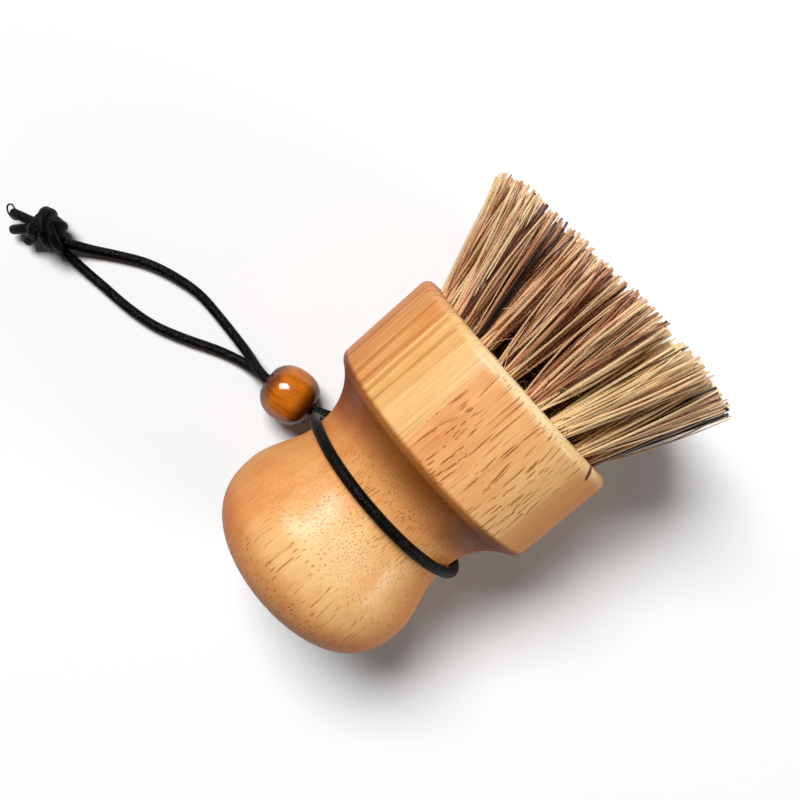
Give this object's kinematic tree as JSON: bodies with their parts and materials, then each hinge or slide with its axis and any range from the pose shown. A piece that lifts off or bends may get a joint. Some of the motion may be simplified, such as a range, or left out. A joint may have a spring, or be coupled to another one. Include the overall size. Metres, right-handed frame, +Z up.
{
  "type": "truffle brush",
  "caption": "Palm brush for cleaning truffles: turned bamboo handle, splayed natural bristle tufts, a cord noose about the neck with a sliding bead and an end knot.",
  "frame": {"origin": "on the floor, at the middle of the base of the lying brush's box, without its cord", "axes": "+X level along the brush from its knob to its bristles, +Z up, +Y to the side where the cord lies"},
  "size_m": [0.0984, 0.1426, 0.0675],
  "materials": {
    "bamboo": "satin lacquered laminated bamboo",
    "bristle": "mixed blond, tan and brown natural bristle",
    "leather": "round black leather cord, waxed",
    "amber_wood": "gloss amber lacquered wood"
  },
  "bodies": {
    "brush": {"handle": "bamboo", "tuft_centre": "bristle", "tuft_inner_01": "bristle", "tuft_inner_02": "bristle", "tuft_inner_03": "bristle", "tuft_inner_04": "bristle", "tuft_inner_05": "bristle", "tuft_inner_06": "bristle", "tuft_middle_01": "bristle", "tuft_middle_02": "bristle", "tuft_middle_03": "bristle", "tuft_middle_04": "bristle", "tuft_middle_05": "bristle", "tuft_middle_06": "bristle", "tuft_middle_07": "bristle", "tuft_middle_08": "bristle", "tuft_middle_09": "bristle", "tuft_middle_10": "bristle", "tuft_middle_11": "bristle", "tuft_middle_12": "bristle", "tuft_outer_01": "bristle", "tuft_outer_02": "bristle", "tuft_outer_03": "bristle", "tuft_outer_04": "bristle", "tuft_outer_05": "bristle", "tuft_outer_06": "bristle", "tuft_outer_07": "bristle", "tuft_outer_08": "bristle", "tuft_outer_09": "bristle", "tuft_outer_10": "bristle", "tuft_outer_11": "bristle", "tuft_outer_12": "bristle", "tuft_outer_13": "bristle", "tuft_outer_14": "bristle", "tuft_outer_15": "bristle", "tuft_outer_16": "bristle", "tuft_outer_17": "bristle", "tuft_outer_18": "bristle"},
    "cord": {"neck_noose": "leather", "cord_strand_upper": "leather", "cord_strand_lower": "leather", "cord_knot": "leather"},
    "bead": {"cord_bead": "amber_wood"}
  },
  "joints": [
    {"name": "cord_turn", "type": "hinge", "parent": "brush", "child": "cord", "pos_m": [-0.0162, 0, 0.02613], "axis": [0.9926, 0, 0.1218], "range_deg": [0, 205]},
    {"name": "bead_slide", "type": "slide", "parent": "cord", "child": "bead", "axis": [-0.2595, 0.9658, 0], "range_m": [0, 0.055], "deforming": ["cord_strand_upper", "cord_strand_lower"]}
  ]
}
